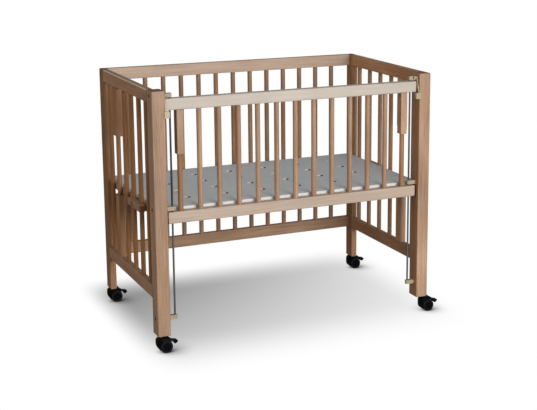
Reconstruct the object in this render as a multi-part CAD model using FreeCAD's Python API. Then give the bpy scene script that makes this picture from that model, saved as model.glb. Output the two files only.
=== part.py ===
import FreeCAD, Part
import os
import math

os.makedirs("parts", exist_ok=True)
V = FreeCAD.Vector

# ---------------------------------------------------------------------------
# Driving dimensions, millimetres.  X runs along the length, the drop side is
# at -Y, Z is up from the floor.  All numbers below are in the layout frame;
# every solid is moved by ORIGIN on export, so that the origin is the bottom
# centre of the whole crib's box.
# ---------------------------------------------------------------------------
ORIGIN = V(-16.8, 2.5, 0.0)

LENGTH = 950.0            # over the outer faces of the posts
DEPTH = 576.0
FLOOR_TO_POST = 52.0      # castor height
TOP = 816.0               # top of the frame
FRONT_POST_X, FRONT_POST_Y = 41.0, 52.0
BACK_POST_X, BACK_POST_Y = 22.0, 47.0
RAIL_T, RAIL_H = 22.0, 40.0
LOW_RAIL_Z = 165.0        # underside of the lower rails
END_BAR_D, LONG_BAR_D = 15.0, 16.0
END_BAR_PITCH, LONG_BAR_PITCH = 80.0, 64.0
TENON = 10.0              # how far a bar's end goes into its rail
STOP_BAR_X, STOP_BAR_Y = 20.0, 38.0
STOP_LOW_Z, STOP_HIGH_Z = 415.0, 613.0

DROP_HALF = 428.5         # half length of the drop side's rails
DROP_T, DROP_RAIL_H = 28.0, 36.0
DROP_TOP_Z, DROP_LOW_Z = 754.0, 404.0
DROP_SQUARE_X, DROP_SQUARE_Z = 22.0, 618.0
ROD_D, ROD_X = 6.0, 411.5
HOLDER_H = 12.5
HOLDER_Z = (98.0, 444.0, 793.0)

BOARD_T, BOARD_TOP = 12.0, 448.0
BOARD_HALF = 450.0
BOARD_Y0, BOARD_Y1 = -245.0, 262.0
VENT_R = 11.0

WHEEL_R, TRAIL, AXLE_Z = 20.0, 14.0, 20.0
STEM_X, STEM_YF, STEM_YB = 464.5, -277.0, 272.0   # the front castors stand near the posts' outer corners

XE = LENGTH / 2.0
YF, YB = -DEPTH / 2.0, DEPTH / 2.0
X_FP = XE - FRONT_POST_X          # inner face of a front post
X_BP = XE - BACK_POST_X           # inner face of a back post
Y_FP = YF + FRONT_POST_Y          # back face of a front post
Y_BP = YB - BACK_POST_Y           # front face of a back post
Y_MID = (Y_FP + Y_BP) / 2.0
X_END = XE - RAIL_T / 2.0         # centre plane of an end panel
Y_DROP = YF + FRONT_POST_Y / 2.0  # centre plane of the drop side
Y_BACK = YB - RAIL_T / 2.0        # centre plane of the back panel
TOP_RAIL_Z = TOP - RAIL_H


# ---------------------------------------------------------------------------
# Helpers
# ---------------------------------------------------------------------------
def box(x0, x1, y0, y1, z0, z1):
    return Part.makeBox(x1 - x0, y1 - y0, z1 - z0, V(x0, y0, z0))


def cyl(p, axis, r, length):
    return Part.makeCylinder(r, length, V(*p), V(*axis))


def soft_edges(shape, r, along=None):
    """Round the straight edges of a box; along names the direction kept."""
    picked = []
    for e in shape.Edges:
        if len(e.Vertexes) != 2:
            continue
        d = e.Vertexes[1].Point.sub(e.Vertexes[0].Point)
        n = max(range(3), key=lambda i: abs(d[i]))
        if along is None or n in along:
            picked.append(e)
    return shape.makeFillet(r, picked)


def prism_xz(pts, y0, y1):
    face = Part.Face(Part.makePolygon([V(x, y0, z) for x, z in pts + pts[:1]]))
    return face.extrude(V(0, y1 - y0, 0))


def prism_xy(pts, z0, z1):
    face = Part.Face(Part.makePolygon([V(x, y, z0) for x, y in pts + pts[:1]]))
    return face.extrude(V(0, 0, z1 - z0))


def hexagon(p, axis, across_flats, length):
    """Hexagonal prism along X."""
    r = across_flats / math.sqrt(3.0)
    pts = [V(p[0], p[1] + r * math.cos(math.radians(60 * k)),
             p[2] + r * math.sin(math.radians(60 * k))) for k in range(6)]
    face = Part.Face(Part.makePolygon(pts + pts[:1]))
    return face.extrude(V(length * axis[0], 0, 0))


def mirror_x(shape):
    return shape.mirror(V(0, 0, 0), V(1, 0, 0))


def clean(shape):
    try:
        s = shape.removeSplitter()
        if s.isValid():
            return s
    except Exception:
        pass
    return shape


nodes = []


def put(name, shapes):
    if not isinstance(shapes, (list, tuple)):
        shapes = [shapes]
    solids = []
    for s in shapes:
        for q in clean(s).Solids:
            solids.append(q)
    for q in solids:
        if not q.isValid() or q.Volume <= 0:
            print("bad solid in", name)
    out = Part.makeCompound(solids) if len(solids) > 1 else solids[0].copy()
    out.translate(ORIGIN)
    out.exportStep("parts/" + name + ".step")
    b = out.BoundBox
    nodes.append(name)
    print("%-26s %3d solids  %8.1f..%8.1f  %8.1f..%8.1f  %8.1f..%8.1f" %
          (name, len(solids), b.XMin, b.XMax, b.YMin, b.YMax, b.ZMin, b.ZMax))


# ---------------------------------------------------------------------------
# End panels.  Both ends are the same panel, turned half a turn, so the bar
# with the thick upper and lower parts is the fifth from the front on the
# left and the second from the front on the right.
# ---------------------------------------------------------------------------
bar_y = [Y_MID + END_BAR_PITCH * (k - 2.5) for k in range(6)]
bolt_z = [z + HOLDER_H / 2.0 for z in HOLDER_Z]
back_bolt_z = [LOW_RAIL_Z + RAIL_H / 2.0, TOP_RAIL_Z + RAIL_H / 2.0]
dowels = []
holder_bolts = []
panel_bolts = []
barrel_nuts = []
sockets = []


def socket_at(x, y):
    s = cyl((x, y, 50.4), (0, 0, 1), 5.5, 39.6)
    s = s.fuse(cyl((x, y, 50.4), (0, 0, 1), 9.0, 1.6))
    return s.cut(cyl((x, y, 50.4), (0, 0, 1), 4.06, 37.6))


def cap_screw(x_head, y, z, sx, length, head_r=5.0, head_l=5.0, r=3.0):
    """Socket-head screw along X; sx is the way its tip points."""
    s = cyl((x_head, y, z), (sx, 0, 0), head_r, head_l)
    s = s.fuse(cyl((x_head + sx * head_l, y, z), (sx, 0, 0), r, length))
    return s.cut(hexagon((x_head, y, z), (sx, 0, 0), 5.0, 3.0))


def cap_screw_room(x_face, depth, y, z, sx, length, head_r=5.0, r=3.0):
    s = cyl((x_face, y, z), (sx, 0, 0), head_r, depth)
    return s.fuse(cyl((x_face, y, z), (sx, 0, 0), r, length))


for side, sx in (("left", -1.0), ("right", 1.0)):
    def X(a, b):
        return (a * sx, b * sx) if sx > 0 else (b * sx, a * sx)
    stop_k = 4 if sx < 0 else 1
    xc = X_END * sx

    # front post, 41 x 52, with three bolt holes for the rod holders
    a, b = X(X_FP, XE)
    fp = soft_edges(box(a, b, YF, Y_FP, FLOOR_TO_POST, TOP), 3.0)
    for z in bolt_z:
        fp = fp.cut(cap_screw_room(XE * sx, 12.0, Y_DROP, z, -sx, FRONT_POST_X + 2, head_r=6.0))
        head_x = (XE - 7.0) * sx
        holder_bolts.append(cap_screw(head_x, Y_DROP, z, -sx, XE - 12.0 - 423.0, head_r=6.0))
    fp = fp.cut(cyl((STEM_X * sx, STEM_YF, 51), (0, 0, 1), 5.5, 39.0))
    sockets.append(socket_at(STEM_X * sx, STEM_YF))

    # back post, 22 x 47
    a, b = X(X_BP, XE)
    bp = soft_edges(box(a, b, Y_BP, YB, FLOOR_TO_POST, TOP), 3.0)
    for z in back_bolt_z:
        bp = bp.cut(cap_screw_room(XE * sx, 6.0, Y_BACK, z, -sx, BACK_POST_X + 2))
        panel_bolts.append(cap_screw((XE - 1.0) * sx, Y_BACK, z, -sx, 46.0))
    y_cast = STEM_YB
    bp = bp.cut(cyl((xc, y_cast, 51), (0, 0, 1), 5.5, 39.0))
    sockets.append(socket_at(xc, y_cast))

    # rails between the posts
    a, b = X(X_BP, XE)
    top = soft_edges(box(a, b, Y_FP, Y_BP, TOP_RAIL_Z, TOP), 3.0, along=(1,))
    low = soft_edges(box(a, b, Y_FP, Y_BP, LOW_RAIL_Z, LOW_RAIL_Z + RAIL_H), 3.0, along=(1,))

    bars = []
    for k, y in enumerate(bar_y):
        z0, z1 = LOW_RAIL_Z + RAIL_H - TENON, TOP_RAIL_Z + TENON
        r = END_BAR_D / 2.0
        if k == stop_k:
            r = 6.0
        hole = cyl((xc, y, z0), (0, 0, 1), r, z1 - z0)
        top = top.cut(hole)
        low = low.cut(hole)
        if k != stop_k:
            bars.append(hole)
            continue
        hx, hy = STOP_BAR_X / 2.0, STOP_BAR_Y / 2.0
        lowp = soft_edges(box(xc - hx, xc + hx, y - hy, y + hy, LOW_RAIL_Z + RAIL_H, STOP_LOW_Z), 2.0, along=(2,))
        upp = soft_edges(box(xc - hx, xc + hx, y - hy, y + hy, STOP_HIGH_Z, TOP_RAIL_Z), 2.0, along=(2,))
        stop = hole.fuse(lowp).fuse(upp)
        stop = stop.fuse(cyl((xc, y, STOP_LOW_Z - 5), (0, 0, 1), END_BAR_D / 2.0, STOP_HIGH_Z - STOP_LOW_Z + 10))
        put(side + "_stop_bar", stop)

    for z in (LOW_RAIL_Z + RAIL_H / 2.0, TOP_RAIL_Z + RAIL_H / 2.0):
        for dz in (-9.0, 9.0):
            for y in (Y_FP, Y_BP):
                d = cyl((xc, y - 15.0, z + dz), (0, 1, 0), 4.0, 30.0)
                # the back panel's bolt crosses the back post at mid height
                dowels.append(d)
                fp = fp.cut(d)
                bp = bp.cut(d)
                top = top.cut(d)
                low = low.cut(d)

    put(side + "_front_post", fp)
    put(side + "_back_post", bp)
    put(side + "_top_rail", top)
    put(side + "_bottom_rail", low)
    put(side + "_end_bars", bars)

# ---------------------------------------------------------------------------
# Back panel
# ---------------------------------------------------------------------------
long_x = [LONG_BAR_PITCH * k for k in range(-6, 7)]
btop = soft_edges(box(-X_BP, X_BP, YB - RAIL_T, YB, TOP_RAIL_Z, TOP), 3.0, along=(0,))
blow = soft_edges(box(-X_BP, X_BP, YB - RAIL_T, YB, LOW_RAIL_Z, LOW_RAIL_Z + RAIL_H), 3.0, along=(0,))
bars = []
for x in long_x:
    b = cyl((x, Y_BACK, LOW_RAIL_Z + RAIL_H - TENON), (0, 0, 1), LONG_BAR_D / 2.0,
            TOP_RAIL_Z - LOW_RAIL_Z - RAIL_H + 2 * TENON)
    bars.append(b)
    btop = btop.cut(b)
    blow = blow.cut(b)
for sx in (-1.0, 1.0):
    for z in back_bolt_z:
        shaft = cyl((X_BP * sx, Y_BACK, z), (-sx, 0, 0), 3.0, 34.0)
        nut_hole = cyl(((X_BP - 27.0) * sx, YB - 17.0, z), (0, 1, 0), 5.0, 18.0)
        btop = btop.cut(shaft).cut(nut_hole)
        blow = blow.cut(shaft).cut(nut_hole)
        nut = cyl(((X_BP - 27.0) * sx, YB - 17.0, z), (0, 1, 0), 5.0, 16.0)
        slot = box((X_BP - 27.0) * sx - 3.5, (X_BP - 27.0) * sx + 3.5, YB - 2.2, YB, z - 0.6, z + 0.6)
        barrel_nuts.append(nut.cut(shaft).cut(slot))
put("back_top_rail", btop)
put("back_bottom_rail", blow)
put("back_bars", bars)
put("end_dowels", dowels)
put("back_panel_bolts", panel_bolts)
put("back_panel_barrel_nuts", barrel_nuts)

# ---------------------------------------------------------------------------
# Guide rods and their plastic holders, with the latches on the top holders
# ---------------------------------------------------------------------------
PIN_Y, PIN_Z = -272.0, 801.0
HOLDER_R = 7.5
ARM_X0, ARM_X1 = 430.2, 433.2     # a latch arm hangs in the gap between rail end and post


def top_rounded(shape, z, r):
    """Round the edges of a shape's flat top."""
    picked = [e for e in shape.Edges if abs(e.BoundBox.ZMin - z) < 1e-4 and abs(e.BoundBox.ZMax - z) < 1e-4]
    try:
        out = shape.makeFillet(r, picked)
        if out.isValid():
            return out
    except Exception:
        pass
    return shape


latch_pins = []
for side, sx in (("left", -1.0), ("right", 1.0)):
    rod = cyl((ROD_X, Y_DROP, 100.5), (0, 0, 1), ROD_D / 2.0, 702.5)
    rod = rod.makeChamfer(0.6, [rod.Edges[0], rod.Edges[2]])
    holders = []
    for i, z in enumerate(HOLDER_Z):
        h = box(ROD_X, X_FP, Y_DROP - HOLDER_R, Y_DROP + HOLDER_R, z, z + HOLDER_H)
        h = clean(h.fuse(cyl((ROD_X, Y_DROP, z), (0, 0, 1), HOLDER_R, HOLDER_H)))
        if i == 2:
            # the top holder's nose is blunter than those of the others
            h = clean(h.common(box(ROD_X - 5.2, X_FP + 1.0, Y_DROP - 20.0, Y_DROP + 20.0, z - 1.0, z + HOLDER_H + 1.0)))
        h = top_rounded(h, z + HOLDER_H, 1.0)
        if i == 2:
            # boss for the latch pin, and room for the latch's eyelet beside it
            boss = cyl((420.0, PIN_Y, PIN_Z), (1, 0, 0), 4.5, 9.6)
            boss = boss.fuse(box(420.0, 429.6, PIN_Y, PIN_Y + 6.0, PIN_Z - 4.5, PIN_Z + 3.2))
            h = clean(h.fuse(boss))
            h = h.cut(box(429.6, X_FP + 1.0, PIN_Y - 12.0, PIN_Y + 4.9, z - 1.0, z + HOLDER_H + 1.0))
            h = h.cut(cyl((419.0, PIN_Y, PIN_Z), (1, 0, 0), 1.5, 12.0))
        h = h.cut(cyl((ROD_X, Y_DROP, 100.5), (0, 0, 1), ROD_D / 2.0, 702.5))
        h = h.cut(cyl((423.0, Y_DROP, z + HOLDER_H / 2.0), (1, 0, 0), 3.0, 12.0))
        holders.append(h)
    pin = cyl((419.0, PIN_Y, PIN_Z), (1, 0, 0), 1.5, 14.6)
    pin = pin.fuse(cyl((418.8, PIN_Y, PIN_Z), (1, 0, 0), 2.4, 1.2))

    # latch: eyelet beside the holder, a flat arm slanting down and forwards in
    # the gap between the rail's end and the post, block under the front corner
    # of the rail, lip over the front face of the post
    eye = cyl((ARM_X0, PIN_Y, PIN_Z), (1, 0, 0), 4.4, ARM_X1 - ARM_X0)
    arm_pts = [V(ARM_X0, y, z) for y, z in ((-274.4, 801.7), (-269.6, 800.3), (-284.5, 749.3), (-289.3, 750.7))]
    arm = Part.Face(Part.makePolygon(arm_pts + arm_pts[:1])).extrude(V(ARM_X1 - ARM_X0, 0, 0))
    block = soft_edges(box(420.8, 433.3, YF - 3.3, YF + 11.5, 733.0, 753.0), 1.2, along=(0, 1, 2))
    lip = soft_edges(box(428.0, 437.5, YF - 3.3, YF - 0.4, 733.0, 753.0), 1.0, along=(1,))
    grip = box(429.0, 436.0, YF - 4.1, YF - 3.0, 737.0, 739.0)
    latch = eye.fuse(arm).fuse(block).fuse(lip)
    for k in range(3):
        latch = latch.fuse(grip.translated(V(0, 0, 5.0 * k)))
    latch = latch.cut(cyl((ARM_X0 - 1.0, PIN_Y, PIN_Z), (1, 0, 0), 1.55, 6.0))
    if sx < 0:
        rod, pin, latch = mirror_x(rod), mirror_x(pin), mirror_x(latch)
        holders = [mirror_x(h) for h in holders]
    put(side + "_guide_rod", rod)
    put(side + "_rod_holders", holders)
    put(side + "_latch", latch)
    latch_pins.append(pin)
put("latch_pins", latch_pins)
put("rod_holder_bolts", holder_bolts)

# ---------------------------------------------------------------------------
# Drop side: two rails, eleven round bars, and an outer bar at each end whose
# upper part is square
# ---------------------------------------------------------------------------
y0, y1 = Y_DROP - DROP_T / 2.0, Y_DROP + DROP_T / 2.0


def drop_rail(z, r):
    s = soft_edges(box(-DROP_HALF, DROP_HALF, y0, y1, z, z + DROP_RAIL_H), r, along=(0,))
    ends = [e for e in s.Edges if e.BoundBox.XMax - e.BoundBox.XMin < 1e-4]
    return s.makeFillet(1.5, ends)


dtop = drop_rail(DROP_TOP_Z, 4.0)
dlow = drop_rail(DROP_LOW_Z, 3.0)
round_bars, square_bars = [], []
for x in long_x:
    z0, z1 = DROP_LOW_Z + DROP_RAIL_H - TENON, DROP_TOP_Z + TENON
    outer = abs(x) > 380.0
    if outer:
        core = cyl((x, Y_DROP, z0), (0, 0, 1), LONG_BAR_D / 2.0, DROP_SQUARE_Z - z0 + 5.0)
        tenon = cyl((x, Y_DROP, DROP_TOP_Z - 5.0), (0, 0, 1), 6.0, TENON + 5.0)
        sq = soft_edges(box(x - DROP_SQUARE_X / 2, x + DROP_SQUARE_X / 2, y0, y1, DROP_SQUARE_Z, DROP_TOP_Z),
                        2.0, along=(2,))
        square_bars.append(core.fuse(sq).fuse(tenon))
        dtop = dtop.cut(tenon)
        dlow = dlow.cut(core)
    else:
        b = cyl((x, Y_DROP, z0), (0, 0, 1), LONG_BAR_D / 2.0, z1 - z0)
        round_bars.append(b)
        dtop = dtop.cut(b)
        dlow = dlow.cut(b)
for sx in (-1.0, 1.0):
    guide = cyl((ROD_X * sx, Y_DROP, 390.0), (0, 0, 1), ROD_D / 2.0 + 0.09, 410.0)
    dtop = dtop.cut(guide)
    dlow = dlow.cut(guide)
put("drop_side_top_rail", dtop)
put("drop_side_bottom_rail", dlow)
put("drop_side_round_bars", round_bars)
put("drop_side_square_bars", square_bars)

# ---------------------------------------------------------------------------
# Height-adjustable base: ventilated board on two ledgers, each clamped to the
# end bars by a bolt and an outside block.  A ledger's outer edge stands over
# the stop bar's lower thick part, which carries it at the lowest setting.
# ---------------------------------------------------------------------------
board = box(-BOARD_HALF, BOARD_HALF, BOARD_Y0, BOARD_Y1, BOARD_TOP - BOARD_T, BOARD_TOP)
for sx in (-1.0, 1.0):
    a, b = sorted((432.5 * sx, 460.0 * sx))
    board = board.cut(box(a, b, -260.0, -234.0, 430.0, 450.0))
board = soft_edges(board, 1.0, along=(2,))
yc = (BOARD_Y0 + BOARD_Y1) / 2.0 + 4.5
for x in (-320.0, -192.0, -64.0, 64.0, 192.0, 320.0):
    for y in (-150.0, -50.0, 50.0, 150.0):
        board = board.cut(cyl((x, yc + y, 430.0), (0, 0, 1), VENT_R, 20.0))

LEDGER_Z0 = STOP_LOW_Z + 0.3
CLAMP_Z = 430.0
ledgers, blocks, clamp_bolts, clamp_washers, clamp_nuts, base_screws = {}, {}, [], [], [], []
for side, sx in (("left", -1.0), ("right", 1.0)):
    a, b = sorted((434.2 * sx, 456.2 * sx))
    led = soft_edges(box(a, b, -232.0, 236.0, LEDGER_Z0, BOARD_TOP - BOARD_T), 1.5, along=(1,))
    # the gap between two bars where the bolt goes through
    k = 1 if sx < 0 else 3
    y_bolt = (bar_y[k] + bar_y[k + 1]) / 2.0
    a, b = sorted((464.0 * sx, 484.0 * sx))
    near, far = (77.5, 47.5) if sx < 0 else (47.5, 77.5)
    blk = soft_edges(box(a, b, y_bolt - near, y_bolt + far, CLAMP_Z - 11.0, CLAMP_Z + 11.0), 2.5, along=(0, 1))
    for y in (bar_y[k], bar_y[k + 1]):
        blk = blk.cut(cyl((X_END * sx, y, 400.0), (0, 0, 1), END_BAR_D / 2.0 + 0.3, 60.0))
    blk = blk.cut(cyl((484.0 * sx, y_bolt, CLAMP_Z), (-sx, 0, 0), 8.5, 6.0))
    shaft = cyl((485.0 * sx, y_bolt, CLAMP_Z), (-sx, 0, 0), 3.0, 60.0)
    blk = blk.cut(shaft)
    led = led.cut(shaft)
    washer = cyl((478.0 * sx, y_bolt, CLAMP_Z), (sx, 0, 0), 8.0, 1.4).cut(shaft)
    clamp_washers.append(washer)
    bolt = cyl((479.4 * sx, y_bolt, CLAMP_Z), (-sx, 0, 0), 3.0, 51.0)
    bolt = bolt.fuse(hexagon((479.4 * sx, y_bolt, CLAMP_Z), (sx, 0, 0), 10.0, 4.0))
    clamp_bolts.append(bolt)
    nut = hexagon((434.2 * sx, y_bolt, CLAMP_Z - 0.0), (-sx, 0, 0), 10.0, 5.0)
    nut = nut.cut(shaft)
    clamp_nuts.append(nut)
    for y in (-190.0, 2.0, 190.0):
        sc = cyl((445.0 * sx, y, LEDGER_Z0), (0, 0, 1), 2.0, 28.0)
        sc = sc.fuse(Part.makeCone(4.0, 2.0, 2.2, V(445.0 * sx, y, LEDGER_Z0), V(0, 0, 1)))
        led = led.cut(sc)
        board = board.cut(sc)
        base_screws.append(sc)
    ledgers[side] = led
    blocks[side] = blk
put("base_board", board)
put("left_base_ledger", ledgers["left"])
put("right_base_ledger", ledgers["right"])
put("left_clamp_block", blocks["left"])
put("right_clamp_block", blocks["right"])
put("clamp_bolts", clamp_bolts)
put("clamp_washers", clamp_washers)
put("clamp_nuts", clamp_nuts)
put("base_screws", base_screws)

# ---------------------------------------------------------------------------
# Castors: a hood on a steel stem, twin wheels on an axle, a brake pedal on
# two trunnions.  The wheels trail towards +X.
# ---------------------------------------------------------------------------
put("castor_sockets", sockets)

HOOD_TOP = 49.8
SHELL_Y = 18.4
PIVOT = (12.0, 46.2)


def spline_xz(pts, y):
    c = Part.BSplineCurve()
    c.interpolate([V(x, y, z) for x, z in pts])
    return c.toShape()


def castor(tag, cx, cy):
    at = V(cx, cy, 0)
    back = [(-8.0, HOOD_TOP), (-12.4, 46.8), (-15.2, 41.4), (-16.0, 35.2), (-15.3, 29.0),
            (-13.0, 22.6), (-9.9, 16.4), (-6.2, 10.4)]
    front = [(31.0, 33.0), (30.4, 38.6), (27.8, 43.9), (24.0, 47.9), (20.0, HOOD_TOP)]
    edges = [spline_xz(back, -SHELL_Y)]
    run = [back[-1], (-3.0, 9.0), (4.0, 12.0), (24.0, 12.0), front[0]]
    edges += [Part.makeLine(V(p[0], -SHELL_Y, p[1]), V(q[0], -SHELL_Y, q[1])) for p, q in zip(run, run[1:])]
    edges += [spline_xz(front, -SHELL_Y),
              Part.makeLine(V(front[-1][0], -SHELL_Y, HOOD_TOP), V(back[0][0], -SHELL_Y, HOOD_TOP))]
    h = Part.Face(Part.Wire(Part.__sortEdges__(edges))).extrude(V(0, 2 * SHELL_Y, 0))
    plan = cyl((2.3, 0, 0), (0, 0, 1), 18.5, 60.0).fuse(box(2.3, 40, -18.4, 18.4, 0, 60))
    h = h.common(clean(plan))
    # the top falls away to the sides and the back in two slopes
    for z0, r0, z1, r1 in ((42.0, 18.6, 46.2, 16.2), (46.2, 16.2, 51.0, 11.4)):
        slope = Part.makeCone(r0, r1, z1 - z0, V(2.3, 0, z0), V(0, 0, 1))
        side = Part.Face(Part.makePolygon([V(2.3, -r0, z0), V(2.3, r0, z0), V(2.3, r1, z1), V(2.3, -r1, z1), V(2.3, -r0, z0)]))
        slope = slope.fuse(side.extrude(V(60, 0, 0)))
        h = h.cut(box(-60, 60, -40, 40, z0, z1).cut(slope))
    h = max(h.Solids, key=lambda q: q.Volume)
    h = h.cut(cyl((TRAIL, -20, AXLE_Z), (0, 1, 0), WHEEL_R + 0.9, 40.0))
    h = max(h.Solids, key=lambda q: q.Volume)
    web = prism_xz([(-8.6, 16.5), (-8.6, 44.0), (16.0, 43.0), (25.0, 36.0), (24.0, 18.0), (18.0, 12.5), (8.0, 12.5)], -4.9, 4.9)
    pocket = prism_xz([(8.9, 60.0), (8.9, 42.1), (14.0, 41.0), (24.0, 37.2), (36.0, 31.0), (36.0, 60.0)], -5.6, 5.6)
    h = h.fuse(web).cut(pocket)
    # beside the web the pocket is open down to the wheels
    for s in (-1.0, 1.0):
        a, b = sorted((4.9 * s, 5.6 * s))
        h = h.cut(box(8.9, 36.0, a, b, 28.0, 60.0))
    h = max(h.Solids, key=lambda q: q.Volume)
    h = h.cut(cyl((PIVOT[0], -8.8, PIVOT[1]), (0, 1, 0), 2.27, 17.6))
    h = h.cut(cyl((TRAIL, -20, AXLE_Z), (0, 1, 0), 2.5, 40.0))
    h = h.cut(cyl((0, 0, 34.0), (0, 0, 1), 4.0, 30.0))
    h = clean(h)

    stem = cyl((0, 0, 34.0), (0, 0, 1), 4.0, 52.0)
    stem = stem.makeChamfer(0.8, [e for e in stem.Edges if abs(e.BoundBox.ZMin - 86.0) < 1e-3 and abs(e.BoundBox.ZMax - 86.0) < 1e-3])

    axle = cyl((TRAIL, -14.0, AXLE_Z), (0, 1, 0), 2.5, 28.0)

    wheels = []
    for s in (-1.0, 1.0):
        w = cyl((TRAIL, 5.6 * s, AXLE_Z), (0, s, 0), WHEEL_R, 12.2)
        rim = [e for e in w.Edges if len(e.Vertexes) == 1]
        w = w.makeFillet(2.4, rim)
        # dished hub with a raised cap; the axle's bore is closed outside
        w = w.cut(cyl((TRAIL, 16.4 * s, AXLE_Z), (0, s, 0), 12.8, 3.0))
        w = w.fuse(cyl((TRAIL, 16.0 * s, AXLE_Z), (0, s, 0), 5.2, 1.2))
        w = w.cut(cyl((TRAIL, 0, AXLE_Z), (0, s, 0), 2.56, 14.5))
        wheels.append(w)

    px, pz = PIVOT
    body = prism_xz([(px, pz - 2.7), (px, pz + 2.6), (17.5, 49.3), (23.0, 48.3), (28.5, 44.0), (34.0, 39.4),
                     (39.5, 36.9), (45.0, 35.9), (51.0, 34.7), (53.2, 32.4), (52.4, 29.3), (48.5, 25.8),
                     (44.2, 23.6), (41.6, 24.8), (39.6, 28.4), (37.4, 32.2), (34.0, 35.0), (30.0, 38.3),
                     (24.0, 41.7)], -5.0, 5.0)
    body = soft_edges(body, 1.0, along=(1,))
    # the neck runs down between the wheels, the tread in front of them is wider
    tread = prism_xz([(38.0, 37.4), (39.5, 36.9), (45.0, 35.9), (51.0, 34.7), (53.2, 32.4), (52.4, 29.3),
                      (48.5, 25.8), (44.2, 23.6), (41.6, 24.8), (39.6, 28.4), (38.0, 31.0)], -8.0, 8.0)
    tread = soft_edges(tread, 1.0, along=(1,))
    ped = body.fuse(tread)
    ped = ped.fuse(cyl((px, -5.0, pz), (0, 1, 0), 2.7, 10.0)).fuse(cyl((px, -8.5, pz), (0, 1, 0), 2.2, 17.0))
    ped = clean(ped)

    for shape in [h, stem, axle, ped] + wheels:
        shape.translate(at)
    put("castor_" + tag + "_hood", h)
    put("castor_" + tag + "_stem", stem)
    put("castor_" + tag + "_axle", axle)
    put("castor_" + tag + "_wheels", wheels)
    put("castor_" + tag + "_brake_pedal", ped)


castor("front_left", -STEM_X, STEM_YF)
castor("front_right", STEM_X, STEM_YF)
castor("back_left", -X_END, STEM_YB)
castor("back_right", X_END, STEM_YB)

print(len(nodes), "nodes")
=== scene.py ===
import bpy
import math
from mathutils import Matrix, Vector


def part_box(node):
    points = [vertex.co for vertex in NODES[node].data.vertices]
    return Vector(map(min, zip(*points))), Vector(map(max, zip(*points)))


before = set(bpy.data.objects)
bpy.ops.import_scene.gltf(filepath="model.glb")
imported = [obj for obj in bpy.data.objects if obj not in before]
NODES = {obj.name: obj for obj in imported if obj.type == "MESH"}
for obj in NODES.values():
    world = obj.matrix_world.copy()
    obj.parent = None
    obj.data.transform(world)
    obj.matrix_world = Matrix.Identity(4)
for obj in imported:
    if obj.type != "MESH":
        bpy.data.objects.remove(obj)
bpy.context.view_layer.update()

# Same origin shift as the CAD part, metres.
OX, OY = -0.0168, 0.0025


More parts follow.
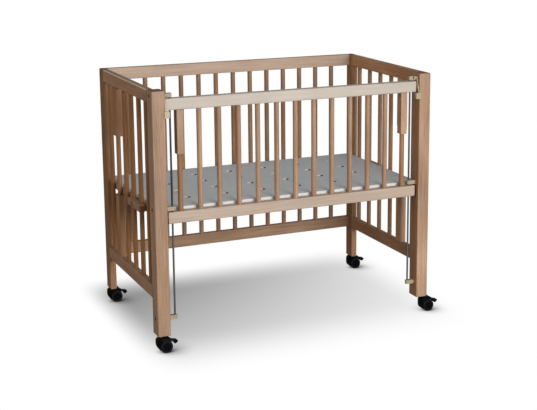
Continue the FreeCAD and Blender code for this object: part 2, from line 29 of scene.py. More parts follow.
# ---------------------------------------------------------------------------
# Node helpers
# ---------------------------------------------------------------------------
class Tree:
    """A material's node tree with short calls for the nodes used here."""

    def __init__(self, name):
        self.mat = bpy.data.materials.new(name)
        self.mat.use_nodes = True
        self.nt = self.mat.node_tree
        self.nt.nodes.clear()
        self.out = self.nt.nodes.new("ShaderNodeOutputMaterial")
        self.bsdf = self.nt.nodes.new("ShaderNodeBsdfPrincipled")
        self.nt.links.new(self.bsdf.outputs[0], self.out.inputs["Surface"])
        self._tc = None

    def put(self, socket, value):
        if isinstance(value, bpy.types.NodeSocket):
            self.nt.links.new(value, socket)
        else:
            socket.default_value = value

    def coord(self, kind="Object"):
        if self._tc is None:
            self._tc = self.nt.nodes.new("ShaderNodeTexCoord")
        return self._tc.outputs[kind]

    def math(self, op, a, b=0.0, c=None, clamp=False):
        n = self.nt.nodes.new("ShaderNodeMath")
        n.operation = op
        n.use_clamp = clamp
        self.put(n.inputs[0], a)
        self.put(n.inputs[1], b)
        if c is not None:
            self.put(n.inputs[2], c)
        return n.outputs[0]

    def vmath(self, op, a, b=(0, 0, 0)):
        n = self.nt.nodes.new("ShaderNodeVectorMath")
        n.operation = op
        self.put(n.inputs[0], a)
        if op == "SCALE":
            self.put(n.inputs["Scale"], b)
            return n.outputs["Vector"]
        self.put(n.inputs[1], b)
        return n.outputs["Value"] if op in ("DOT_PRODUCT", "LENGTH", "DISTANCE") else n.outputs["Vector"]

    def split(self, v):
        n = self.nt.nodes.new("ShaderNodeSeparateXYZ")
        self.put(n.inputs[0], v)
        return n.outputs[0], n.outputs[1], n.outputs[2]

    def join(self, x, y, z):
        n = self.nt.nodes.new("ShaderNodeCombineXYZ")
        for i, v in enumerate((x, y, z)):
            self.put(n.inputs[i], v)
        return n.outputs[0]

    def noise(self, vec, scale=1.0, detail=3.0, rough=0.5, distortion=0.0):
        n = self.nt.nodes.new("ShaderNodeTexNoise")
        self.put(n.inputs["Vector"], vec)
        n.inputs["Scale"].default_value = scale
        n.inputs["Detail"].default_value = detail
        n.inputs["Roughness"].default_value = rough
        n.inputs["Distortion"].default_value = distortion
        return n.outputs[0]

    def voronoi(self, vec, scale=1.0, feature="F1"):
        n = self.nt.nodes.new("ShaderNodeTexVoronoi")
        n.feature = feature
        self.put(n.inputs["Vector"], vec)
        n.inputs["Scale"].default_value = scale
        return n

    def white(self, w):
        n = self.nt.nodes.new("ShaderNodeTexWhiteNoise")
        n.noise_dimensions = "1D"
        self.put(n.inputs["W"], w)
        return n

    def remap(self, v, a, b, c=0.0, d=1.0, smooth=False):
        n = self.nt.nodes.new("ShaderNodeMapRange")
        n.interpolation_type = "SMOOTHSTEP" if smooth else "LINEAR"
        n.clamp = True
        self.put(n.inputs[0], v)
        for i, x in enumerate((a, b, c, d)):
            self.put(n.inputs[i + 1], x)
        return n.outputs[0]

    def ramp(self, v, stops):
        n = self.nt.nodes.new("ShaderNodeValToRGB")
        self.put(n.inputs[0], v)
        r = n.color_ramp
        while len(r.elements) < len(stops):
            r.elements.new(0.5)
        for e, (p, c) in zip(r.elements, stops):
            e.position = p
            e.color = tuple(c) + (1.0,)
        return n.outputs[0]

    def mix(self, f, a, b, kind="MIX"):
        n = self.nt.nodes.new("ShaderNodeMix")
        n.data_type = "RGBA"
        n.blend_type = kind
        self.put(n.inputs[0], f)
        self.put(n.inputs[6], a if isinstance(a, bpy.types.NodeSocket) else tuple(a) + (1.0,))
        self.put(n.inputs[7], b if isinstance(b, bpy.types.NodeSocket) else tuple(b) + (1.0,))
        return n.outputs[2]

    def times(self, col, f):
        """A colour times a number."""
        n = self.nt.nodes.new("ShaderNodeVectorMath")
        n.operation = "SCALE"
        self.put(n.inputs[0], col)
        self.put(n.inputs["Scale"], f)
        return n.outputs["Vector"]

    def bump(self, height, strength=0.2, distance=0.001, normal=None):
        n = self.nt.nodes.new("ShaderNodeBump")
        n.inputs["Strength"].default_value = strength
        n.inputs["Distance"].default_value = distance
        self.put(n.inputs["Height"], height)
        if normal is not None:
            self.put(n.inputs["Normal"], normal)
        return n.outputs[0]

    def set(self, name, value):
        self.put(self.bsdf.inputs[name], value)


def lin(r, g, b):
    """sRGB 0..255 to linear."""
    out = []
    for c in (r, g, b):
        c /= 255.0
        out.append(c / 12.92 if c <= 0.04045 else ((c + 0.055) / 1.055) ** 2.4)
    return tuple(out)


# ---------------------------------------------------------------------------
# Beech
# ---------------------------------------------------------------------------
def beech(name, grain, seed, tone=1.0, row=None, pale=0.0, ring=0.0032, turned=False, amber_shade=0.0, side=0.0,
          x_face_shade=0.0, low=None, painted_light_ends=None, painted_edge_highlight=0.0):
    """Oiled beech.  grain is the axis that the fibres follow.  row is
    (axis, pitch, phase) for a node that holds a row of bars: each bar gets
    its own cut of wood and its own tone.  turned is not used.  warm is
    how amber the piece is, as painted shade; side how much more amber its X
    faces are and dim how much darker, both painted shade.  low is (height,
    amber, tone) for the wood below a height.  ends is the tone at the left and
    at the right end, painted light brightening the piece towards the right.
    worn is how pale the rounded outer top edge is painted: a painted highlight."""
    t = Tree(name)
    x, y, z = t.split(t.coord("Object"))
    axes = {"X": (y, z, x), "Y": (x, z, y), "Z": (x, y, z)}
    u, v, w = axes[grain]

    if row is not None:
        axis, pitch, phase = row
        q = {"X": x, "Y": y, "Z": z}[axis]
        cell = t.math("ROUND", t.math("DIVIDE", t.math("SUBTRACT", q, phase), pitch))
        rnd = t.white(t.math("ADD", cell, seed * 7.31 + 0.37))
        r1, r2, r3 = t.split(rnd.outputs["Color"])
        bar_tone = t.remap(rnd.outputs["Value"], 0.0, 1.0, 0.93, 1.06)
        off = t.vmath("SCALE", rnd.outputs["Color"], 3.7)
    else:
        s = (seed * 0.6180339) % 1.0
        off = (3.1 * s, 5.3 * s * s + 0.4, 7.7 * s + 1.3)
        r1 = s
        bar_tone = 1.0
    p = t.vmath("ADD", t.join(u, v, w), off)
    pu, pv, pw = t.split(p)

    def stretched(across, along):
        return t.join(t.math("DIVIDE", pu, across), t.math("DIVIDE", pv, across), t.math("DIVIDE", pw, along))

    # slow drift of the fibres, so that rings wander along the piece
    drift = t.noise(stretched(0.045, 0.42), 1.0, 2.0, 0.45)
    ripple = t.noise(stretched(0.012, 0.11), 1.0, 3.0, 0.55)

    # growth rings around a heart that lies outside the piece
    heart_u = t.math("SUBTRACT", u, t.math("MULTIPLY_ADD", r1, 0.11, -0.17)) if row is not None else t.math("SUBTRACT", u, 0.11 * r1 - 0.17)
    radius = t.vmath("LENGTH", t.join(heart_u, t.math("SUBTRACT", v, 0.021), 0.0))
    wander = t.math("MULTIPLY_ADD", drift, 0.016, t.math("MULTIPLY", ripple, 0.0026))
    turn = t.math("DIVIDE", t.math("ADD", radius, wander), ring)
    saw = t.math("FRACT", turn)
    late = t.remap(saw, 0.45, 0.97, 0.0, 1.0, smooth=True)
    late = t.math("MULTIPLY", late, t.remap(saw, 0.97, 1.0, 1.0, 0.0))
    year = t.white(t.math("FLOOR", turn)).outputs["Value"]
    late = t.math("MULTIPLY", late, t.remap(year, 0.0, 1.0, 0.25, 1.0))

    # rays: short dark dashes along the fibres, and the pores between them
    fleck = t.voronoi(stretched(0.0013, 0.0085), 1.0)
    dash = t.remap(fleck.outputs["Distance"], 0.10, 0.34, 1.0, 0.0, smooth=True)
    pick = t.remap(t.split(fleck.outputs["Color"])[0], 0.42, 0.80, 0.0, 1.0)
    dash = t.math("MULTIPLY", dash, pick)
    fibre = t.noise(stretched(0.0011, 0.070), 1.0, 4.0, 0.62)
    fine = t.noise(stretched(0.00045, 0.012), 1.0, 2.0, 0.6)
    patch = t.noise(stretched(0.060, 0.230), 1.0, 3.0, 0.5)
    band = t.noise(t.join(0.3, 0.7, t.math("DIVIDE", pw, 0.16)), 1.0, 2.0, 0.5)

    light = lin(208, 174, 145)
    mid = lin(182, 147, 118)
    dark = lin(145, 107, 79)
    col = t.ramp(t.math("ADD", t.math("MULTIPLY", fibre, 0.55), t.math("MULTIPLY", patch, 0.45)),
                 [(0.30, dark), (0.47, mid), (0.66, light)])
    col = t.mix(t.math("MULTIPLY", late, 0.34), col, lin(138, 98, 71))
    col = t.mix(t.math("MULTIPLY", dash, 0.42), col, lin(120, 83, 60))
    col = t.mix(t.remap(fine, 0.40, 0.72, 0.0, 0.16), col, lin(210, 183, 157))
    # redder heartwood drifting in and out
    red = t.remap(t.math("MULTIPLY_ADD", drift, 0.6, t.math("MULTIPLY", band, 0.4)), 0.42, 0.66, 0.0, 0.30, smooth=True)
    col = t.mix(red, col, lin(172, 124, 92))
    if pale > 0.0:
        col = t.mix(pale, col, lin(217, 208, 196))

    # painted shade: an amber tint on pieces that sit in shade (warm) and on their X faces (side); low adds amber below
    # a height
    nx = t.math("ABSOLUTE", t.vmath("DOT_PRODUCT", t.coord("Normal"), (1, 0, 0)))
    facing_x = t.remap(nx, 0.45, 0.85, 0.0, 1.0, smooth=True)
    below = t.math("LESS_THAN", z, low[0]) if low is not None else None
    if amber_shade > 0.0 or side > 0.0 or low is not None:
        amount = t.math("MULTIPLY_ADD", facing_x, side, amber_shade)
        if low is not None:
            amount = t.math("MULTIPLY_ADD", below, low[1], amount)
        tint = t.join(t.math("MULTIPLY_ADD", amount, 0.10, 1.0), t.math("MULTIPLY_ADD", amount, -0.10, 1.0),
                      t.math("MULTIPLY_ADD", amount, -0.33, 1.0))
        col = t.vmath("MULTIPLY", col, tint)

    # end grain drinks more oil: darker, with the rings plain to see
    n = t.coord("Normal")
    axis_vec = {"X": (1, 0, 0), "Y": (0, 1, 0), "Z": (0, 0, 1)}[grain]
    along = t.math("ABSOLUTE", t.vmath("DOT_PRODUCT", n, axis_vec))
    endg = t.remap(along, 0.72, 0.93, 0.0, 1.0, smooth=True)
    pores = t.noise(t.join(t.math("DIVIDE", pu, 0.0007), t.math("DIVIDE", pv, 0.0007), 0.0), 1.0, 3.0, 0.7)
    end_col = t.mix(late, lin(150, 104, 76), lin(110, 70, 48))
    end_col = t.mix(t.remap(pores, 0.45, 0.62, 0.0, 0.55), end_col, lin(96, 60, 42))
    col = t.mix(t.math("MULTIPLY", endg, 0.85), col, end_col)

    # painted shade: darker in inner corners and where parts meet, from ambient occlusion; bands and streaks vary the
    # tone along the wood
    ao = t.nt.nodes.new("ShaderNodeAmbientOcclusion")
    ao.samples = 6
    ao.inside = False
    ao.only_local = False
    ao.inputs["Distance"].default_value = 0.018
    shade = t.remap(ao.outputs["AO"], 0.35, 0.95, 0.80, 1.0)
    streak = t.noise(stretched(0.0060, 0.150), 1.0, 3.0, 0.58)
    value = t.math("MULTIPLY", shade, t.remap(band, 0.30, 0.70, 0.945, 1.045))
    much = 1.0 - 0.70 * pale
    value = t.math("MULTIPLY", value, t.remap(streak, 0.30, 0.70, 1.0 - 0.15 * much, 1.0 + 0.13 * much))
    # painted shade: the X faces darker
    if x_face_shade > 0.0:
        value = t.math("MULTIPLY", value, t.math("MULTIPLY_ADD", facing_x, -x_face_shade, 1.0))
    if low is not None:
        value = t.math("MULTIPLY", value, t.math("MULTIPLY_ADD", below, low[2] - 1.0, 1.0))
    # painted light: brightness rising from the left end to the right end
    if painted_light_ends is not None:
        lengthwise = t.remap(x, -0.35, 0.35, painted_light_ends[0] - 1.0, painted_light_ends[1] - 1.0)
        if low is not None:
            lengthwise = t.math("MULTIPLY", lengthwise, t.math("SUBTRACT", 1.0, below))
        value = t.math("MULTIPLY", value, t.math("ADD", lengthwise, 1.0))
    if row is not None:
        value = t.math("MULTIPLY", value, bar_tone)
    # tone: the piece's own shade of beech, and in part painted light and shade
    value = t.math("MULTIPLY", value, tone)
    col = t.times(col, value)
    # painted highlight: a pale line along the rounded outer top edge, where it catches the light
    if painted_edge_highlight > 0.0:
        nrm_x, nrm_y, nrm_z = t.split(t.coord("Normal"))
        edge = t.math("MULTIPLY", t.remap(nrm_z, 0.06, 0.22, 0.0, 1.0, smooth=True),
                      t.remap(nrm_z, 0.90, 0.985, 1.0, 0.0, smooth=True))
        edge = t.math("MULTIPLY", edge, t.remap(nrm_x, -0.25, -0.05, 1.0, 0.0))
        edge = t.math("MULTIPLY", edge, t.remap(streak, 0.25, 0.60, 0.65, 1.0))
        col = t.mix(t.math("MULTIPLY", edge, painted_edge_highlight), col, lin(255, 250, 240))
    t.set("Base Color", col)

    rough = t.math("ADD", 0.40, t.math("ADD", t.math("MULTIPLY", fibre, 0.16), t.math("MULTIPLY", patch, 0.10)))
    rough = t.math("ADD", rough, t.math("MULTIPLY", dash, 0.10))
    t.set("Roughness", t.math("ADD", rough, t.math("MULTIPLY", endg, 0.22), clamp=True))
    height = t.math("ADD", t.math("MULTIPLY", fibre, 0.50), t.math("MULTIPLY", fine, 0.35))
    height = t.math("SUBTRACT", height, t.math("MULTIPLY", dash, 0.55))
    height = t.math("SUBTRACT", height, t.math("MULTIPLY", late, 0.12))
    t.set("Normal", t.bump(height, 0.22, 0.00035))
    t.bsdf.inputs["Specular IOR Level"].default_value = 0.42
    t.bsdf.inputs["Coat Weight"].default_value = 0.06
    t.bsdf.inputs["Coat Roughness"].default_value = 0.32
    return t.mat


# ---------------------------------------------------------------------------
# Other materials
# ---------------------------------------------------------------------------
b_lo, b_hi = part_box("base_board")
BOARD_IN = ((b_hi[0] - b_lo[0]) / 2.0 - 0.004, (b_hi[1] - b_lo[1]) / 2.0 - 0.004, (b_lo[1] + b_hi[1]) / 2.0)


def board():
    """White melamine board: fine orange-peel surface, white edge band, and ventilation hole walls
    with painted shade and chipboard flecks; painted shade in corners and holes."""
    t = Tree("melamine")
    p = t.coord("Object")
    n = t.coord("Normal")
    up = t.math("ABSOLUTE", t.vmath("DOT_PRODUCT", n, (0, 0, 1)))
    face = t.remap(up, 0.60, 0.90, 0.0, 1.0, smooth=True)
    cloud = t.noise(p, 9.0, 4.0, 0.55)
    speck = t.noise(p, 1500.0, 2.0, 0.6)
    scuff = t.noise(t.vmath("MULTIPLY", p, (14.0, 260.0, 1.0)), 1.0, 3.0, 0.6)
    top = t.ramp(cloud, [(0.30, lin(230, 239, 245)), (0.70, lin(238, 247, 252))])
    top = t.mix(t.remap(speck, 0.56, 0.74, 0.0, 0.10), top, lin(247, 249, 250))
    top = t.mix(t.remap(scuff, 0.62, 0.80, 0.0, 0.14), top, lin(222, 226, 229))
    edge = t.mix(t.remap(speck, 0.45, 0.70, 0.0, 0.14), lin(243, 244, 244), lin(226, 227, 226))
    col = t.mix(face, edge, top)
    # walls of the ventilation holes, bare of edge band: painted shade, near black where the wall faces -X and pale
    # elsewhere, with brown chipboard flecks
    x, y, z = t.split(p)
    inside = t.math("MULTIPLY", t.math("LESS_THAN", t.math("ABSOLUTE", t.math("SUBTRACT", x, OX)), BOARD_IN[0]),
                    t.math("LESS_THAN", t.math("ABSOLUTE", t.math("SUBTRACT", y, BOARD_IN[2])), BOARD_IN[1]))
    wall = t.math("MULTIPLY", inside, t.math("SUBTRACT", 1.0, face))
    chip = t.noise(p, 420.0, 3.0, 0.65)
    nx = t.vmath("DOT_PRODUCT", n, (1, 0, 0))
    hole_wall_shade_and_chip = t.mix(t.remap(nx, -0.80, -0.35, 0.0, 1.0, smooth=True), (0.030, 0.026, 0.023), (0.94, 0.92, 0.89))
    hole_wall_shade_and_chip = t.mix(t.remap(chip, 0.40, 0.70, 0.0, 0.20), hole_wall_shade_and_chip, (0.20, 0.15, 0.10))
    col = t.mix(wall, col, hole_wall_shade_and_chip)
    # painted shade: darker in corners and hole walls, from ambient occlusion
    ao = t.nt.nodes.new("ShaderNodeAmbientOcclusion")
    ao.samples = 6
    ao.inputs["Distance"].default_value = 0.030
    t.set("Base Color", t.times(col, t.remap(ao.outputs["AO"], 0.30, 0.92, 0.86, 1.0)))
    t.set("Roughness", t.math("ADD", 0.34, t.math("MULTIPLY", scuff, 0.22)))
    t.set("Normal", t.bump(t.noise(p, 620.0, 3.0, 0.55), 0.10, 0.0002))
    t.bsdf.inputs["Specular IOR Level"].default_value = 0.40
    return t.mat


def steel(name, base, axis, rough=0.24, seed=0.0, polished=None):
    """Drawn or turned steel with fine lines along or around the piece.
    polished is (height, colour) for the brighter part below a height, where
    the drop side has rubbed."""
    t = Tree(name)
    x, y, z = t.split(t.coord("Object"))
    s = {"Z": (9000.0, 9000.0, 22.0), "X": (22.0, 9000.0, 9000.0), "N": (1600.0, 1600.0, 1600.0)}[axis]
    p = t.join(t.math("MULTIPLY_ADD", x, s[0], seed), t.math("MULTIPLY", y, s[1]), t.math("MULTIPLY", z, s[2]))
    line = t.noise(p, 1.0, 3.0, 0.6)
    stain = t.noise(t.coord("Object"), 46.0, 4.0, 0.6)
    col = t.ramp(t.math("MULTIPLY_ADD", line, 0.5, t.math("MULTIPLY", stain, 0.5)),
                 [(0.30, tuple(c * 0.72 for c in base)), (0.62, base), (0.78, tuple(min(1.0, c * 1.25) for c in base))])
    t.bsdf.inputs["Metallic"].default_value = 1.0
    if polished is not None:
        part = t.remap(z, polished[0] - 0.05, polished[0] + 0.05, 1.0, 0.0, smooth=True)
        col = t.mix(part, col, t.mix(line, polished[1], tuple(c * 0.8 for c in polished[1])))
        t.set("Metallic", t.remap(part, 0.0, 1.0, 1.0, 0.55))
    t.set("Base Color", col)
    t.set("Roughness", t.math("ADD", rough, t.math("MULTIPLY_ADD", line, 0.14, t.math("MULTIPLY", stain, 0.10))))
    t.set("Normal", t.bump(line, 0.10, 0.00006))
    return t.mat


def zinc():
    """Blue-passivated zinc: crystalline patches, rougher where stained."""
    t = Tree("zinc")
    p = t.coord("Object")
    cell = t.voronoi(p, 620.0)
    k = t.split(cell.outputs["Color"])[0]
    stain = t.noise(p, 150.0, 4.0, 0.6)
    col = t.ramp(t.math("MULTIPLY_ADD", k, 0.35, t.math("MULTIPLY", stain, 0.65)),
                 [(0.25, (0.20, 0.21, 0.23)), (0.55, (0.42, 0.43, 0.45)), (0.80, (0.58, 0.58, 0.57))])
    t.set("Base Color", col)
    t.bsdf.inputs["Metallic"].default_value = 1.0
    t.set("Roughness", t.remap(stain, 0.3, 0.7, 0.26, 0.48))
    t.set("Normal", t.bump(t.math("ADD", k, stain), 0.10, 0.00008))
    return t.mat


def beige(name, tone=1.0):
    """Moulded beige plastic, matte, with a fine spark-eroded grain."""
    t = Tree(name)
    p = t.coord("Object")
    grain = t.noise(p, 1900.0, 3.0, 0.6)
    cloud = t.noise(p, 70.0, 3.0, 0.5)
    flow = t.noise(t.vmath("MULTIPLY", p, (60.0, 60.0, 420.0)), 1.0, 3.0, 0.5)
    col = t.ramp(t.math("MULTIPLY_ADD", cloud, 0.6, t.math("MULTIPLY", flow, 0.4)),
                 [(0.30, lin(178, 162, 134)), (0.55, lin(188, 173, 145)), (0.75, lin(198, 184, 157))])
    # painted shade: darker in creases and corners, from ambient occlusion
    ao = t.nt.nodes.new("ShaderNodeAmbientOcclusion")
    ao.samples = 6
    ao.inputs["Distance"].default_value = 0.006
    t.set("Base Color", t.times(col, t.remap(ao.outputs["AO"], 0.30, 0.90, 0.74 * tone, tone)))
    t.set("Roughness", t.remap(grain, 0.30, 0.70, 0.42, 0.58))
    t.set("Normal", t.bump(grain, 0.16, 0.00010))
    t.bsdf.inputs["Subsurface Weight"].default_value = 0.06
    t.bsdf.inputs["Subsurface Radius"].default_value = (0.003, 0.002, 0.001)
    return t.mat


def black_plastic(name, rough=0.30):
    """Glass-filled black nylon with faint flow lines and dust in the corners."""
    t = Tree(name)
    p = t.coord("Object")
    grain = t.noise(p, 2200.0, 3.0, 0.6)
    flow = t.noise(t.vmath("MULTIPLY", p, (90.0, 90.0, 500.0)), 1.0, 3.0, 0.55)
    dust = t.noise(p, 120.0, 4.0, 0.65)
    ao = t.nt.nodes.new("ShaderNodeAmbientOcclusion")
    ao.samples = 6
    ao.inputs["Distance"].default_value = 0.004
    col = t.ramp(flow, [(0.30, (0.0012, 0.0013, 0.0015)), (0.70, (0.0032, 0.0034, 0.0038))])
    inner = t.math("MULTIPLY", t.remap(ao.outputs["AO"], 0.45, 0.85, 1.0, 0.0), t.remap(dust, 0.45, 0.75, 0.0, 0.10))
    col = t.mix(inner, col, (0.040, 0.038, 0.035))
    t.set("Base Color", col)
    t.set("Roughness", t.math("ADD", rough, t.math("MULTIPLY_ADD", grain, 0.12, t.math("MULTIPLY", dust, 0.08))))
    t.set("Normal", t.bump(grain, 0.14, 0.00008))
    t.bsdf.inputs["Specular IOR Level"].default_value = 0.10
    return t.mat


def wheel(name, cx, cz):
    """Twin wheel: black hub, slate-grey soft tread outside radius 12.8 mm,
    a little floor dust on the rolling surface."""
    t = Tree(name)
    x, y, z = t.split(t.coord("Object"))
    dx, dz = t.math("SUBTRACT", x, cx), t.math("SUBTRACT", z, cz)
    r = t.vmath("LENGTH", t.join(dx, dz, 0.0))
    ang = t.math("ARCTAN2", dz, dx)
    polar = t.join(t.math("MULTIPLY", r, 900.0), t.math("MULTIPLY", ang, 2.2), t.math("MULTIPLY", y, 900.0))
    moulded = t.noise(polar, 1.0, 3.0, 0.55)
    grain = t.noise(t.coord("Object"), 2100.0, 3.0, 0.6)
    dust = t.noise(t.coord("Object"), 170.0, 4.0, 0.65)
    tread = t.remap(r, 0.01278, 0.01305, 0.0, 1.0, smooth=True)
    hub = t.ramp(moulded, [(0.35, (0.0012, 0.0013, 0.0015)), (0.70, (0.0030, 0.0032, 0.0037))])
    tyre = t.ramp(moulded, [(0.35, (0.0045, 0.0058, 0.0085)), (0.70, (0.0085, 0.0100, 0.0138))])
    roll = t.remap(r, 0.0188, 0.0198, 0.0, 1.0, smooth=True)
    tyre = t.mix(t.math("MULTIPLY", roll, t.remap(dust, 0.40, 0.72, 0.03, 0.26)), tyre, (0.070, 0.068, 0.064))
    t.set("Base Color", t.mix(tread, hub, tyre))
    t.set("Roughness", t.math("ADD", t.remap(tread, 0.0, 1.0, 0.24, 0.44), t.math("MULTIPLY", dust, 0.14)))
    line = t.math("SINE", t.math("MULTIPLY", r, 5200.0))
    t.set("Normal", t.bump(t.math("ADD", grain, t.math("MULTIPLY", line, 0.35)), 0.16, 0.00010))
    t.bsdf.inputs["Specular IOR Level"].default_value = 0.14
    return t.mat


def socket_steel():
    t = Tree("socket_steel")
    p = t.coord("Object")
    k = t.noise(p, 300.0, 4.0, 0.6)
    t.set("Base Color", t.ramp(k, [(0.30, (0.10, 0.10, 0.105)), (0.70, (0.26, 0.26, 0.27))]))
    t.bsdf.inputs["Metallic"].default_value = 1.0
    t.set("Roughness", t.remap(k, 0.3, 0.7, 0.34, 0.58))
    t.set("Normal", t.bump(k, 0.12, 0.00010))
    return t.mat


# ---------------------------------------------------------------------------
# Every CAD node gets its look
# ---------------------------------------------------------------------------
def dress(node, mat):
    for slot in NODES[node].material_slots:
        slot.material = mat


seed = 1
# node: grain, tone, warm, side, pale; tone is partly painted light and shade, warm and side are painted shade
PIECES = {
    "left_front_post": ("Z", 0.95, 0.0, 0.0, 0.0),
    "left_back_post": ("Z", 0.80, 0.95, 0.35, 0.0),
    "left_top_rail": ("Y", 0.97, 0.45, 0.0, 0.0),
    "left_bottom_rail": ("Y", 0.99, 0.15, 0.0, 0.0),
    "left_stop_bar": ("Z", 0.78, 1.05, 0.0, 0.0),
    "left_base_ledger": ("Y", 0.98, 0.3, 0.0, 0.0),
    "left_clamp_block": ("Y", 0.90, 0.75, 0.0, 0.0),
    "right_front_post": ("Z", 1.08, 0.0, 0.80, 0.0),
    "right_back_post": ("Z", 0.90, 0.85, 0.50, 0.0),
    "right_top_rail": ("Y", 1.12, 0.9, 0.0, 0.0),
    "right_bottom_rail": ("Y", 1.0, 0.9, 0.0, 0.0),
    "right_stop_bar": ("Z", 1.42, 0.0, 0.6, 0.0),
    "right_base_ledger": ("Y", 0.98, 0.3, 0.0, 0.0),
    "right_clamp_block": ("Y", 0.90, 0.75, 0.0, 0.0),
    "back_top_rail": ("X", 1.04, 0.0, 0.0, 0.28),
    "back_bottom_rail": ("X", 0.81, 0.25, 0.0, 0.0),
    "drop_side_top_rail": ("X", 0.965, 0.0, 0.0, 0.90),
    "drop_side_bottom_rail": ("X", 1.03, 0.0, 0.0, 0.45),
}
# painted shade: how much darker the X faces of these pieces are; the left top rail also gets the painted edge highlight
# below
X_FACE_SHADE = {"left_back_post": 0.30, "right_back_post": 0.14, "right_front_post": 0.08}
for node, (grain, tone, amber_shade, side, pale) in PIECES.items():
    seed += 1
    dress(node, beech("beech_" + node, grain, seed, tone, pale=pale, amber_shade=amber_shade, side=side,
                      x_face_shade=X_FACE_SHADE.get(node, 0.0), painted_edge_highlight=0.9 if node == "left_top_rail" else 0.0))
# painted light and shade: the left end bars darker and more amber than the right ones
for side, amber_shade, tone in (("left", 1.50, 0.67), ("right", 0.80, 0.84)):
    seed += 1
    dress(side + "_end_bars", beech("beech_" + side + "_end_bars", "Z", seed, tone, amber_shade=amber_shade,
                                    row=("Y", 0.080, 0.0025 + 0.040 + OY), turned=True))
# painted light and shade in these tones: the back bars darker and more amber, the square bars brighter
for node, tone, amber_shade in (("back_bars", 0.75, 0.55), ("drop_side_round_bars", 1.01, 0.0), ("drop_side_square_bars", 1.14, 0.0)):
    seed += 1
    dress(node, beech("beech_" + node, "Z", seed, tone, row=("X", 0.064, OX), turned=True, amber_shade=amber_shade,
                                 low=(0.618, 1.2, 0.74) if node == "drop_side_square_bars" else None,
                                 painted_light_ends=(0.93, 1.10) if node == "drop_side_square_bars" else None))
dress("end_dowels", beech("beech_dowels", "Y", 90, 1.0, row=("Z", 0.018, 0.0)))

dress("base_board", board())
# one steel for both rods: the left rod's darker base is painted shade
for side, base in (("left", (0.10, 0.105, 0.11)), ("right", (0.22, 0.23, 0.235))):
    dress(side + "_guide_rod", steel(side + "_rod_look", base, "Z", 0.22, polished=(0.44, (0.20, 0.225, 0.235))))
bolt = steel("bolt_steel_look", (0.050, 0.052, 0.056), "N", 0.34, 3.0)
for node in ("back_panel_bolts", "rod_holder_bolts", "back_panel_barrel_nuts"):
    dress(node, bolt)
zn = zinc()
for node in ("clamp_bolts", "clamp_washers", "clamp_nuts", "base_screws", "latch_pins"):
    dress(node, zn)
bg = beige("beige_plastic_look")
# painted light: the latches brighter than the holders, the left one most
for side, tone in (("left", 1.28), ("right", 1.08)):
    dress(side + "_rod_holders", bg)
    dress(side + "_latch", beige(side + "_latch_look", tone))
dress("castor_sockets", socket_steel())
hood = black_plastic("castor_hood_look", 0.26)
pedal = black_plastic("castor_pedal_look", 0.30)
stem = steel("stem_steel_look", (0.34, 0.35, 0.36), "Z", 0.26, 5.0)
axle = steel("axle_steel_look", (0.34, 0.35, 0.36), "N", 0.26, 7.0)
for tag in ("front_left", "front_right", "back_left", "back_right"):
    lo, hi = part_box("castor_" + tag + "_axle")
    cx, cz = (lo[0] + hi[0]) / 2.0, (lo[2] + hi[2]) / 2.0
    dress("castor_" + tag + "_hood", hood)
    dress("castor_" + tag + "_stem", stem)
    dress("castor_" + tag + "_axle", axle)
    dress("castor_" + tag + "_wheels", wheel("castor_wheel_" + tag, cx, cz))
    dress("castor_" + tag + "_brake_pedal", pedal)


# ---------------------------------------------------------------------------
# Floor, light and camera
# ---------------------------------------------------------------------------
WORLD_LIGHT = 0.25
CONTACT_REACH = 0.11           # metres
CONTACT_FROM = (-0.58, 0.06, 0.812)


def floor():
    """Pale studio floor.  Cameras see white with the crib's soft shadow: a
    wide one that follows the crib's plan and is deepest at the left back, and
    the contact shadow of whatever stands close to the floor."""
    bpy.ops.mesh.primitive_plane_add(size=60.0, location=(0.0, 0.0, 0.0))
    o = bpy.context.active_object
    o.name = "studio_floor"
    t = Tree("studio_floor_look")
    nt = t.nt
    nt.nodes.remove(t.bsdf)
    x, y, z = t.split(t.coord("Object"))
    x, y = t.math("SUBTRACT", x, OX), t.math("SUBTRACT", y, OY)
    along = t.math("MULTIPLY", t.remap(x, -0.55, -0.40, 0.0, 1.0, smooth=True), t.remap(x, 0.42, 0.63, 1.0, 0.0, smooth=True))
    across = t.math("MULTIPLY", t.remap(y, -0.53, -0.13, 0.0, 1.0, smooth=True), t.remap(y, 0.27, 0.55, 1.0, 0.0, smooth=True))
    deep = t.math("MULTIPLY", t.math("MULTIPLY_ADD", x, -1.05, 1.0), t.math("MULTIPLY_ADD", y, 0.275, 0.227), clamp=True)
    wide = t.math("POWER", t.math("SUBTRACT", 1.0, t.math("MULTIPLY", deep, t.math("MULTIPLY", along, across))), 2.2)
    ao = nt.nodes.new("ShaderNodeAmbientOcclusion")
    ao.samples = 24
    ao.inputs["Distance"].default_value = CONTACT_REACH
    nt.links.new(t.join(*CONTACT_FROM), ao.inputs["Normal"])
    contact = t.remap(ao.outputs["AO"], 0.30, 0.90, 0.05, 1.0)
    seen = nt.nodes.new("ShaderNodeEmission")
    nt.links.new(t.math("MULTIPLY", wide, contact), seen.inputs["Color"])
    own = nt.nodes.new("ShaderNodeBsdfDiffuse")
    own.inputs["Color"].default_value = (0.36, 0.36, 0.36, 1.0)
    path = nt.nodes.new("ShaderNodeLightPath")
    mixer = nt.nodes.new("ShaderNodeMixShader")
    nt.links.new(path.outputs["Is Camera Ray"], mixer.inputs[0])
    nt.links.new(own.outputs[0], mixer.inputs[1])
    nt.links.new(seen.outputs[0], mixer.inputs[2])
    nt.links.new(mixer.outputs[0], t.out.inputs["Surface"])
    o.data.materials.append(t.mat)
    return o


floor()

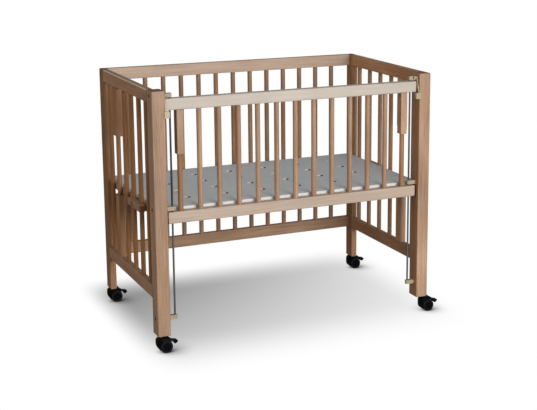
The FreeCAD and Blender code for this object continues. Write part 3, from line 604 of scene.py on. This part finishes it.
world = bpy.data.worlds.new("studio")
world.use_nodes = True
bpy.context.scene.world = world
nt = world.node_tree
nt.nodes.clear()
w_out = nt.nodes.new("ShaderNodeOutputWorld")
w_bg = nt.nodes.new("ShaderNodeBackground")
w_bg.inputs["Color"].default_value = (1.0, 1.0, 1.0, 1.0)
w_bg.inputs["Strength"].default_value = WORLD_LIGHT
w_back = nt.nodes.new("ShaderNodeBackground")
w_back.inputs["Color"].default_value = (1.0, 1.0, 1.0, 1.0)
w_back.inputs["Strength"].default_value = 1.0
w_path = nt.nodes.new("ShaderNodeLightPath")
w_mix = nt.nodes.new("ShaderNodeMixShader")
nt.links.new(w_path.outputs["Is Camera Ray"], w_mix.inputs[0])
nt.links.new(w_bg.outputs[0], w_mix.inputs[1])
nt.links.new(w_back.outputs[0], w_mix.inputs[2])
nt.links.new(w_mix.outputs[0], w_out.inputs["Surface"])


def area(name, where, target, size, watts, colour=(1.0, 1.0, 1.0)):
    data = bpy.data.lights.new(name, "AREA")
    data.shape = "RECTANGLE"
    data.size, data.size_y = size
    data.energy = watts
    data.color = colour
    o = bpy.data.objects.new(name, data)
    bpy.context.collection.objects.link(o)
    o.location = where
    d = Vector(target) - Vector(where)
    o.rotation_euler = d.to_track_quat("-Z", "Y").to_euler()
    return o


area("key", (0.7, -5.2, 1.6), (0.0, 0.0, 0.5), (2.8, 1.6), 190.0, (1.0, 0.985, 0.965))
area("fill", (-4.6, -0.3, 1.3), (0.0, 0.0, 0.5), (2.4, 1.8), 27.0, (1.0, 0.84, 0.66))

cam_data = bpy.data.cameras.new("camera")
cam = bpy.data.objects.new("camera", cam_data)
bpy.context.collection.objects.link(cam)
yaw, pitch, roll = math.radians(25.7846), math.radians(11.9066), math.radians(0.0890)
fwd = Vector((math.sin(yaw) * math.cos(pitch), math.cos(yaw) * math.cos(pitch), -math.sin(pitch)))
right = Vector((math.cos(yaw), -math.sin(yaw), 0.0))
up = right.cross(fwd)
r2 = right * math.cos(roll) + up * math.sin(roll)
u2 = -right * math.sin(roll) + up * math.cos(roll)
m = Matrix((r2, u2, -fwd)).transposed().to_4x4()
m.translation = Vector((-1.57473, -3.75828, 1.37328))
cam.matrix_world = m
cam_data.sensor_fit = "HORIZONTAL"
cam_data.sensor_width = 36.0
cam_data.lens = 1234.05 / 537.0 * 36.0
cam_data.shift_x = (268.5 - 333.0) / 537.0
cam_data.shift_y = -(205.0 - 159.0) / 537.0
cam_data.clip_end = 200.0
bpy.context.scene.camera = cam

bpy.context.scene.view_settings.view_transform = "Standard"
